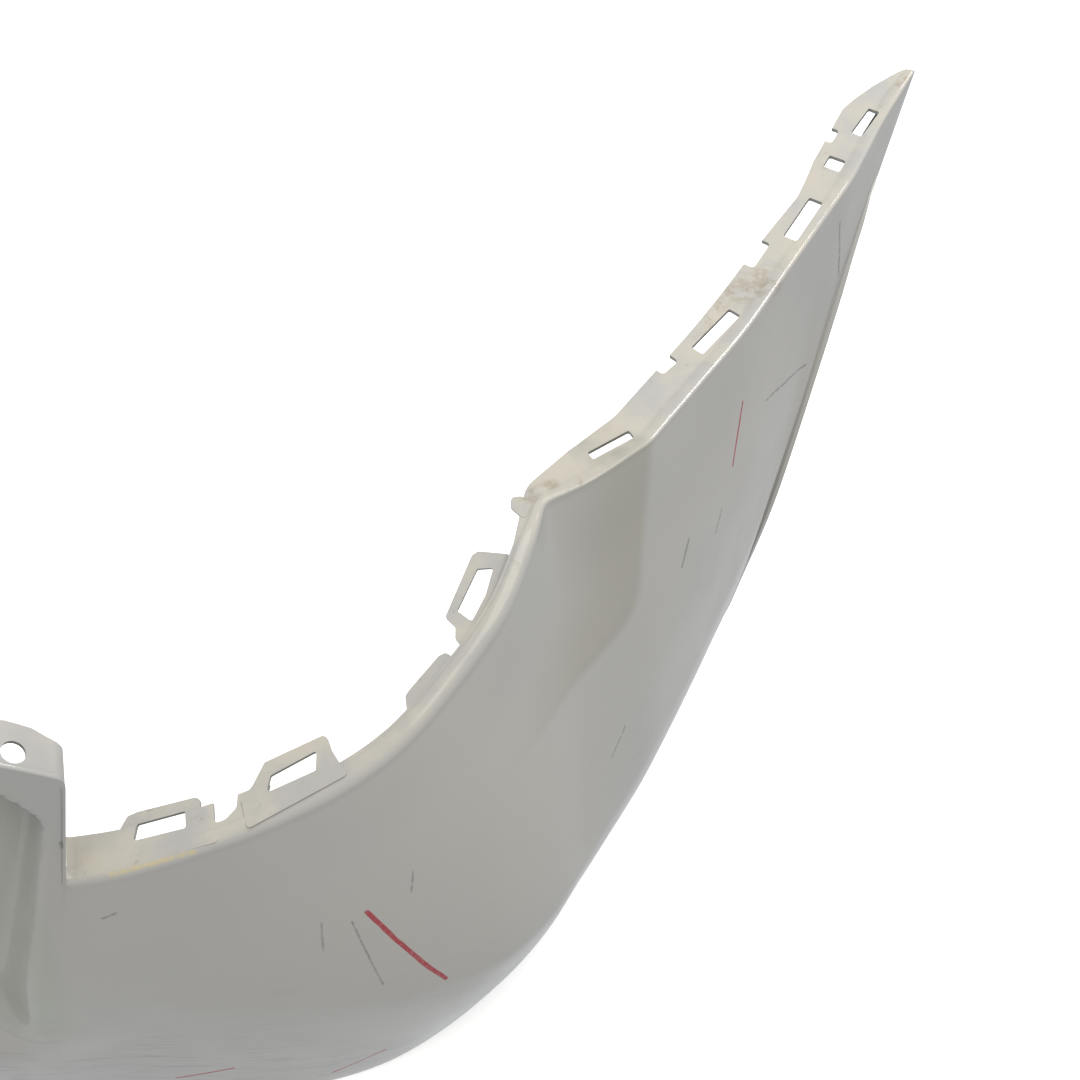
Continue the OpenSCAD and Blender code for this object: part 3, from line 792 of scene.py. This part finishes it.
def strokes(s, marks, surface, gaps=0.75):
    """The strokes of a list of marks in one mask, broken up by noise."""
    bent = s.vector("ADD", s.place, s.shake(0.0010, 60))
    mask = None
    for start, length, lean, width, *soft in marks:
        one = stroke(s, bent, along_surface(surface, start, length, lean), width, *soft)
        mask = one if mask is None else s.math("MAXIMUM", mask, one)
    return s.math("MULTIPLY", mask, s.range(s.noise(260, 3), 0.3, 0.55, 1 - gaps, 1.0))


def pressed_shade_mask(s):
    """Painted shade: 1 just behind the crease of the pressed-in corner, falling away towards the lamp."""
    x, _, z = s.split(s.place)
    kink = car(*KINK)
    away = Vector(KINK_AWAY)
    steep = s.vector("DOT_PRODUCT", s.vector("SUBTRACT", tuple(kink), s.place), tuple(away), True)
    rise = s.math("MULTIPLY", s.math("SUBTRACT", x, LEVEL_AT[0] * MM), LEVEL_RISE)
    level = s.math("SUBTRACT", s.math("SUBTRACT", z, LEVEL_AT[1] * MM), rise)
    behind = s.math("SMOOTH_MIN", steep, level, CREASE_ROUND * MM)
    edge = s.range(behind, -0.006, 0.004)
    fade = s.range(behind, 0.010, 0.085, 1.0, 0.12)
    side = s.range(x, 0.57, 0.64)
    return s.math("MULTIPLY", s.math("MULTIPLY", edge, fade), side)


# Painted shade: 1 inside the number-plate recess, fading out at its rim
def recess_shade_mask(s):
    x, _, z = s.split(s.place)
    across = s.range(s.math("ABSOLUTE", x), 0.272, 0.292, 1.0, 0.0)
    upright = s.math("MULTIPLY", s.range(z, 0.12, 0.17), s.range(z, 0.425, 0.445, 1.0, 0.0))
    return s.math("MULTIPLY", across, upright)


def scuff_mask(s):
    """Fine scuffs along the lower face, with a few bald patches."""
    _, _, z = s.split(s.place)
    lines = s.range(s.noise(1, 6, 0.7, s.stretched((16, 16, 420), (0, 0.03, 0))), 0.54, 0.62)
    patches = s.range(s.noise(7, 3), 0.40, 0.58)
    low = s.range(z, 0.10, 0.24, 1.0, 0.1)
    return s.math("MULTIPLY", s.math("MULTIPLY", lines, patches), low)


def paint():
    s = Shader("paint", Coat_Weight=0.45, Coat_Roughness=0.08, Coat_IOR=1.5, Specular_IOR_Level=0.3)
    colour = s.blend(s.range(s.noise(3.0, 3), 0.35, 0.65), PAINT_COOL, PAINT_WARM)
    # Painted shade: the recess is tinted darker and greener, as it looks in shade
    colour = s.blend(s.math("MULTIPLY", recess_shade_mask(s), 0.8), colour, RECESS_SHADE)
    # Painted shade: darker and warmer just behind the crease of the pressed-in corner
    colour = s.blend(s.math("MULTIPLY", pressed_shade_mask(s), 0.9), colour, PRESSED_SHADE)
    normal = s.node("ShaderNodeNewGeometry").outputs["Normal"]
    upward = s.range(s.split(normal)[2], 0.7, 0.98)
    # Lighter and warmer on upward-facing surfaces, in noisy patches
    upward_tint = s.math("MULTIPLY", upward, s.range(s.noise(22, 5, 0.6), 0.38, 0.66))
    colour = s.blend(s.math("MULTIPLY", upward_tint, 0.75), colour, UPWARD_TINT)
    grime = s.math("MULTIPLY", upward, s.range(s.noise(70, 6, 0.7), 0.60, 0.72))
    colour = s.blend(s.math("MULTIPLY", grime, 0.45), colour, RUST_BROWN)
    scuffs = scuff_mask(s)
    colour = s.blend(s.math("MULTIPLY", scuffs, 0.55), colour, SCUFF_BLUE)
    colour = s.blend(s.math("MULTIPLY", strokes(s, YELLOWED, on_flange), 0.6), colour, OLD_YELLOW)
    blotches = s.range(s.noise(95, 5, 0.65), 0.42, 0.6)
    stains = s.math("MULTIPLY", strokes(s, FLANGE_STAINS, on_flange), blotches)
    colour = s.blend(s.math("MULTIPLY", stains, 0.5), colour, RUST_BROWN)
    scratches = strokes(s, SCRATCHES, on_face)
    colour = s.blend(s.math("MULTIPLY", scratches, 0.6), colour, SCRATCH_GREY)
    crayon = strokes(s, CRAYON_MARKS, on_face, 0.2)
    colour = s.blend(s.math("MULTIPLY", crayon, 0.92), colour, CRAYON_RED)
    s.set("Base Color", colour)
    worn = s.math("MAXIMUM", s.math("MAXIMUM", scuffs, scratches), s.math("MAXIMUM", upward_tint, crayon))
    uneven = s.range(s.noise(14, 5), 0.3, 0.7, 0.32, 0.46)
    s.set("Roughness", s.math("ADD", uneven, s.math("MULTIPLY", worn, 0.3)))
    peel = s.bump(s.noise(520, 2), 0.04, 0.0003)
    dented = s.bump(s.math("ADD", scratches, s.math("MULTIPLY", scuffs, 0.5)), 0.25, 0.0002, peel)
    s.tree.links.new(peel, s.bsdf.inputs["Coat Normal"])
    s.set("Normal", dented)
    return s.material


# ---------------------------------------------------------------- tabs, slots and holes of the skin

TAB_T = 2.6
TAB_SINK = 1.4
# Right-hand lamp tabs, as in the CAD: start on the crease, heading, rise, outline and window
LAMP_TABS = [
    (
        (336, 31, 335), 15.5, 11.4,
        [(0, -3), (1, 27), (7, 35), (14, 36), (54, 34), (57, 31), (55, 20), (66, -3)],
        [(9, 15), (13, 27), (46, 26), (45, 13)],
    ),
    (
        (413, 54, 352), 28.5, 13.3,
        [(2, -3), (6, 18), (17, 24), (30, 35), (72, 32), (74, 29), (73, 20), (74, 8), (76, -3)],
        [(23, 14), (30, 24), (64, 24), (58, 11)],
    ),
    ((499, 105, 377), 45.9, 18.7, [(22, -4), (34, 12), (39, 13), (68, 15), (73, 13), (76, -4)], []),
    (
        (548, 156, 401), 71.7, 15.9,
        [(6, -5), (14, 9), (22, 12), (26, 21), (73, 20), (77, 17), (82, -5)],
        [(33, 15), (65, 13), (69, 3), (49, 1), (29, 3)],
    ),
    ((580, 250, 437), 72, 12, [(0, -6), (6, 7), (13, 9), (16, 3), (14, -6)], []),
]
LAMP_NOTCH = [(66, 34), (64, 10), (72, 11), (80, 17), (84, 34)]

# Slots and notches of the side flange, as in the CAD: middle, heading, length and width
FLANGE_SLOTS = [
    ((641, 312, 442), 36, 34, 7),
    ((712, 413, 449), 53, 44, 10),
    ((775, 518, 457), 62, 42, 11),
    ((799, 572, 466), 64, 12, 13),
    ((823, 613, 473), 60, 28, 9),
]
FLANGE_NOTCHES = [
    ((676, 384, 446), 50, 16, 12),
    ((739, 486, 455), 62, 26, 13),
    ((797, 600, 468), 64, 14, 7),
]

FIX_HOLE = (285, 45, 447)
FIX_TILT = 24
FIX_HOLE_R = 8

ARCH_HEADING = 63
ARCH_SCREWS = [(738.3, 433.4, 120), (757.2, 443.8, 205)]
ARCH_HOLE_R = 3.25
UNDERTRAY_SCREWS = [(300, 21, 3), (435, 36, 3)]
UNDERTRAY_HOLE_R = 4

VALANCE_HALF = 206
VALANCE_H = 62
INSERT_GAP = 2
INSERT_LAP = 16
INSERT_SHIFT = WALL + 0.7
RIVET_TILT = 7
RIVET_HOLE_R = 4
RIVET_SPOTS = [(x, VALANCE_H + 9) for x in (-150, -50, 50, 150)]
RIVET_SPOTS += [(side * (VALANCE_HALF + 8), 34) for side in (-1, 1)]

COVER_AT = (425, 9.9, 215)
COVER_HEADING = 9.8
COVER_LEAN = 9.4
COVER_SIDE = 64
COVER_GAP = 1.2
COVER_AXIS = (40, 10)
HINGE_SIDE_GAP = 2.6
BARREL_R = 4
PIN_BORE_R = 2.08

LAMP_X = 120
LAMP_SLOPE = 32
LAMP_AT = (LAMP_X, 28, 448)

PEGS = [(50, 5), (150, 8)]
PEG_Z = 150
PEG_R = 5
PEG_END = 48
ANCHOR_X = 150
ANCHOR_AT = (22.2, 350)
ANCHOR_TILT = 8

SIDES = (False, True)


def low_face(x, z):
    """Depth of the face near the middle of the car, below the widest line."""
    return mix(-23 + 1.8e-4 * x * x, -4 + 1.4e-4 * x * x, ((192 - z) / 192) ** 2)


def at_tab(tab, drop, mirrored):
    m = frame_at(tab[0], ("Z", tab[1]), ("Y", -tab[2]), mirrored=mirrored)
    return m @ Matrix.Translation((0, 0, -drop))


def at_rivet(spot):
    return frame_at((spot[0], low_face(*spot), spot[1]), ("X", RIVET_TILT - 90))


def at_cover():
    return frame_at(COVER_AT, ("Z", COVER_HEADING), ("X", -COVER_LEAN), mirrored=True)


def facing():
    """Turns a shape drawn flat so that it stands in the face, with its thickness running inward."""
    return Matrix.Rotation(math.radians(-90), 4, "X") @ Matrix.Scale(-1, 4, (0, 1, 0))


def at_lamp(mirrored):
    return frame_at(LAMP_AT, ("X", -LAMP_SLOPE), mirrored=mirrored)


def at_peg(peg, mirrored):
    return frame_at((peg[0], peg[1], PEG_Z), ("X", -90), mirrored=mirrored)


def at_anchor(mirrored):
    return frame_at((ANCHOR_X, *ANCHOR_AT), ("X", -90 - ANCHOR_TILT), mirrored=mirrored)


def cover_prism(grow_hinge, side, deep=70):
    outline = rectangle(side + grow_hinge, side, 6, x=grow_hinge / 2)
    return put(prism(outline, -30, deep - 30), facing())


def skin_cutters():
    cutters = []
    for mirrored in SIDES:
        for middle, heading, length, width in FLANGE_SLOTS:
            m = frame_at(middle, ("Z", heading), mirrored=mirrored)
            cutters.append(put(prism(rectangle(length, width, 1.6), -20, 20), m))
        for middle, heading, length, width in FLANGE_NOTCHES:
            m = frame_at(middle, ("Z", heading), mirrored=mirrored)
            cutters.append(put(prism(rectangle(length, width, 3), -20, 20), m))
        for tab in LAMP_TABS:
            if tab[4]:
                cutters.append(put(prism(rounded(tab[4], 1.8), 0, 14), at_tab(tab, 8, mirrored)))
        cutters.append(put(prism(rounded(LAMP_NOTCH, 5), 0, 20), at_tab(LAMP_TABS[0], 10, mirrored)))
        m = frame_at(FIX_HOLE, ("Y", FIX_TILT), mirrored=mirrored)
        cutters.append(put(prism(circle(FIX_HOLE_R, 48), -12, 12), m))
        for at in ARCH_SCREWS:
            m = frame_at(at, ("Z", ARCH_HEADING), ("Y", 90), mirrored=mirrored)
            cutters.append(put(prism(circle(ARCH_HOLE_R), -9, 9), m))
        for at in UNDERTRAY_SCREWS:
            cutters.append(put(prism(circle(UNDERTRAY_HOLE_R), -8, 8), frame_at(at, mirrored=mirrored)))
        cutters.append(put(prism(rectangle(42, 16, 2), -8, 8), at_lamp(mirrored)))
        cutters.append(put(prism(circle(4.5), -12, 18), at_anchor(mirrored)))
    for spot in RIVET_SPOTS:
        cutters.append(put(prism(circle(RIVET_HOLE_R), -12, 18), at_rivet(spot)))
    opening = rectangle(2 * VALANCE_HALF, VALANCE_H + 45, 14, y=(VALANCE_H - 45) / 2)
    cutters.append(put(put(prism(opening, -60, 30), facing()), CAR))
    cutters.append(put(cover_prism(HINGE_SIDE_GAP - COVER_GAP, COVER_SIDE + 2 * COVER_GAP), at_cover()))
    return joined(cutters, "cutters")


def skin_additions():
    parts = []
    for mirrored in SIDES:
        for tab in LAMP_TABS:
            parts.append(put(prism(rounded(tab[3], 3), 0, TAB_T), at_tab(tab, TAB_T + TAB_SINK, mirrored)))
        for peg in PEGS:
            length = PEG_END - peg[1]
            tip = [(PEG_R, 0), (PEG_R, length - 1.2), (PEG_R - 1.2, length), (0, length), (0, 0)]
            parts.append(put(lathe(tip, 32), at_peg(peg, mirrored)))
    return parts


# ---------------------------------------------------------------- the pieces

COLUMNS = half_columns()
GRID = mirror_grid(outer_grid(COLUMNS))
OUTER = outer_tree()

PAINT = paint()
GRAINED = grained_plastic()
BLACK = plain_plastic("black_plastic", rgb(0.03, 0.03, 0.031))
NYLON = plain_plastic("white_nylon", rgb(0.74, 0.73, 0.68), 0.42, 0.15)
ZINC = zinc()
FOAM = bead_foam()
LENS = clear_plastic()
BULB = bulb_glass()
RED = red_reflector()
CABLE = taped_cable()

def taken(obj):
    """The mesh of a building object, which is then removed."""
    mesh = obj.data
    bpy.data.objects.remove(obj)
    return mesh


def make_skin():
    obj = new_object("skin_build", put(shell_mesh("skin", GRID), CAR))
    for part in skin_additions():
        combine(obj, part, "UNION")
    combine(obj, skin_cutters(), "DIFFERENCE")
    return piece("painted_skin", taken(obj), PAINT, replaces=("bumper_skin",))


def make_tow_cover():
    obj = new_object("cover_build", put(shell_mesh("cover", GRID), CAR))
    combine(obj, put(cover_prism(0, COVER_SIDE), at_cover()), "INTERSECT")
    arm = COVER_AXIS[0] - 18
    ax, ay = COVER_AXIS
    hook = [(arm, 1.5), (arm + 4, 1.5), (arm + 4, ay + 8.6), (ax - 2, ay + 8.6)]
    hook += [(ax - 2, ay), (ax + 2, ay), (ax + 2, ay + 12), (arm, ay + 12)]
    combine(obj, put(prism(rounded(hook, 1.2), -6, 6), at_cover()), "UNION")
    on_axis = at_cover() @ Matrix.Translation((ax, ay, 0))
    combine(obj, put(prism(circle(BARREL_R), -10, 10), on_axis), "UNION")
    combine(obj, put(prism(circle(PIN_BORE_R), -12, 12), on_axis), "DIFFERENCE")
    return piece("tow_cover_panel", taken(obj), PAINT, TOW_COVER, ("tow_eye_cover",))


REFLECTOR_X = 162
REFLECTOR_Z = 36
REFLECTOR_W = 56
REFLECTOR_H = 22
VENTS = range(-105, 106, 30)


def at_reflector(mirrored):
    y = low_face(REFLECTOR_X, REFLECTOR_Z) + INSERT_SHIFT
    return frame_at((REFLECTOR_X, y, REFLECTOR_Z), ("X", RIVET_TILT), mirrored=mirrored)


def standing(outline, y0, y1):
    """A prism drawn in XZ of the car, from y0 to y1."""
    return put(put(prism(outline, y0, y1), facing()), CAR)


def make_valance():
    shifted = GRID + np.array([0, INSERT_SHIFT, 0])
    obj = new_object("valance_build", put(shell_mesh("valance", shifted), CAR))
    half = VALANCE_HALF - INSERT_GAP
    wide = VALANCE_HALF + INSERT_LAP
    outline = [(-half, 0), (half, 0), (half, 8), (wide, 8), (wide, VALANCE_H + INSERT_LAP)]
    outline += [(-wide, VALANCE_H + INSERT_LAP), (-wide, 8), (-half, 8)]
    combine(obj, standing(rounded(outline, 4), -60, 30), "INTERSECT")
    cutters = [standing(rectangle(18, 22, 4, x, 36), -60, 60) for x in VENTS]
    cutters += [
        standing(rectangle(REFLECTOR_W + 1, REFLECTOR_H + 1, 3, side * REFLECTOR_X, REFLECTOR_Z), -60, 60)
        for side in (-1, 1)
    ]
    cutters += [put(prism(circle(RIVET_HOLE_R), -12, 18), at_rivet(spot)) for spot in RIVET_SPOTS]
    combine(obj, joined(cutters, "cutters"), "DIFFERENCE")
    return piece("valance_insert", taken(obj), GRAINED, replaces=("lower_valance",))


def make_reflectors():
    for mirrored, side in ((False, "right"), (True, "left")):
        front = put(prism(rectangle(REFLECTOR_W, REFLECTOR_H, 3), -2, 6), facing())
        back = put(prism(rectangle(REFLECTOR_W + 8, REFLECTOR_H + 8, 3), 5, 7), facing())
        obj = new_object("reflector_build", put(front, at_reflector(mirrored)))
        combine(obj, put(back, at_reflector(mirrored)), "UNION")
        replaced = (f"reflector_{side}",)
        piece(f"reflector_lens_{side}", taken(obj), RED, replaces=replaced, round_mm=0.8)


def kept(node, material, round_mm=0.4):
    """Keeps a CAD node, with a finished material and slightly rounded edges."""
    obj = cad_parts[node]
    obj.data.materials.clear()
    obj.data.materials.append(material)
    modifier = obj.modifiers.new("edges", "BEVEL")
    modifier.width = round_mm * MM
    modifier.segments = 2
    modifier.limit_method = "ANGLE"
    modifier.angle_limit = math.radians(40)
    obj.data.shade_smooth()
    normals = obj.modifiers.new("normals", "WEIGHTED_NORMAL")
    normals.keep_sharp = True


make_skin()
make_tow_cover()
make_valance()
make_reflectors()
for node, material in (
    ("tow_eye_pin", ZINC),
    ("tow_eye_frame", BLACK),
    ("plate_lamp_housing_right", BLACK),
    ("plate_lamp_housing_left", BLACK),
    ("plate_lamp_lens_right", LENS),
    ("plate_lamp_lens_left", LENS),
    ("plate_lamp_bulb_right", BULB),
    ("plate_lamp_bulb_left", BULB),
    ("plate_screw_anchors", NYLON),
    ("energy_absorber", FOAM),
    ("absorber_washers", ZINC),
    ("valance_rivet_bodies", BLACK),
    ("valance_rivet_pins", BLACK),
    ("lamp_harness", CABLE),
    ("harness_clips", BLACK),
    ("harness_connector", BLACK),
    ("arch_nuts", ZINC),
    ("undertray_nuts", ZINC),
):
    kept(node, material)

# ---------------------------------------------------------------- stage, light and camera


FLOOR_GLOW = 0.35


def make_floor():
    s = Shader("floor", Specular_IOR_Level=0.0, Emission_Strength=FLOOR_GLOW, Emission_Color=rgb(1, 1, 1))
    s.set("Base Color", s.blend(s.noise(1.5, 2), rgb(0.93, 0.93, 0.93), rgb(0.95, 0.95, 0.95)))
    s.set("Roughness", 0.9)
    reach = 14.0
    mesh = bpy.data.meshes.new("floor")
    corners = [(-reach, -reach, 0), (reach, -reach, 0), (reach, reach, 0), (-reach, reach, 0)]
    mesh.from_pydata(corners, [], [(0, 1, 2, 3)])
    obj = new_object("floor", mesh)
    obj.data.materials.append(s.material)
    obj.visible_diffuse = False
    obj.visible_glossy = False


def area_light(name, at, aim, size, power, colour=(1, 1, 1)):
    light = bpy.data.lights.new(name, "AREA")
    light.shape = "RECTANGLE"
    light.size, light.size_y = size
    light.energy = power
    light.color = colour
    obj = bpy.data.objects.new(name, light)
    bpy.context.scene.collection.objects.link(obj)
    obj.location = at
    obj.rotation_euler = (Vector(aim) - Vector(at)).to_track_quat("-Z", "Y").to_euler()


def sun_light(name, towards, angle, power, colour):
    """A wide soft light from far away, in the given direction seen from the object."""
    light = bpy.data.lights.new(name, "SUN")
    light.energy = power
    light.angle = math.radians(angle)
    light.color = colour
    obj = bpy.data.objects.new(name, light)
    bpy.context.scene.collection.objects.link(obj)
    obj.rotation_euler = Vector(towards).to_track_quat("Z", "Y").to_euler()


def make_world(strength, colour):
    world = bpy.data.worlds.new("studio")
    bpy.context.scene.world = world
    world.use_nodes = True
    background = world.node_tree.nodes["Background"]
    background.inputs["Color"].default_value = (*colour, 1)
    background.inputs["Strength"].default_value = strength


def make_camera():
    camera = bpy.data.cameras.new("camera")
    camera.lens = 69.2
    camera.sensor_width = 36
    camera.clip_end = 60
    obj = bpy.data.objects.new("camera", camera)
    bpy.context.scene.collection.objects.link(obj)
    obj.location = (0.640, -0.595 - DEPTH_MID * MM, 1.535)
    yaw, pitch = math.radians(-3), math.radians(53)
    ahead = Vector((math.sin(yaw) * math.cos(pitch), math.cos(yaw) * math.cos(pitch), -math.sin(pitch)))
    obj.rotation_euler = ahead.to_track_quat("-Z", "Y").to_euler()
    bpy.context.scene.camera = obj


make_floor()
make_world(0.8, (0.95, 0.97, 1.0))
sun_light("overhead", (0.15, -0.1, 1.0), 40, 1.7, (1.0, 0.97, 0.88))
area_light("sparkle", (1.25, 0.8, 2.1), (0.3, -0.25, 0.42), (0.8, 0.4), 20)
make_camera()
scene = bpy.context.scene
scene.view_settings.view_transform = "Standard"

bpy.context.view_layer.update()
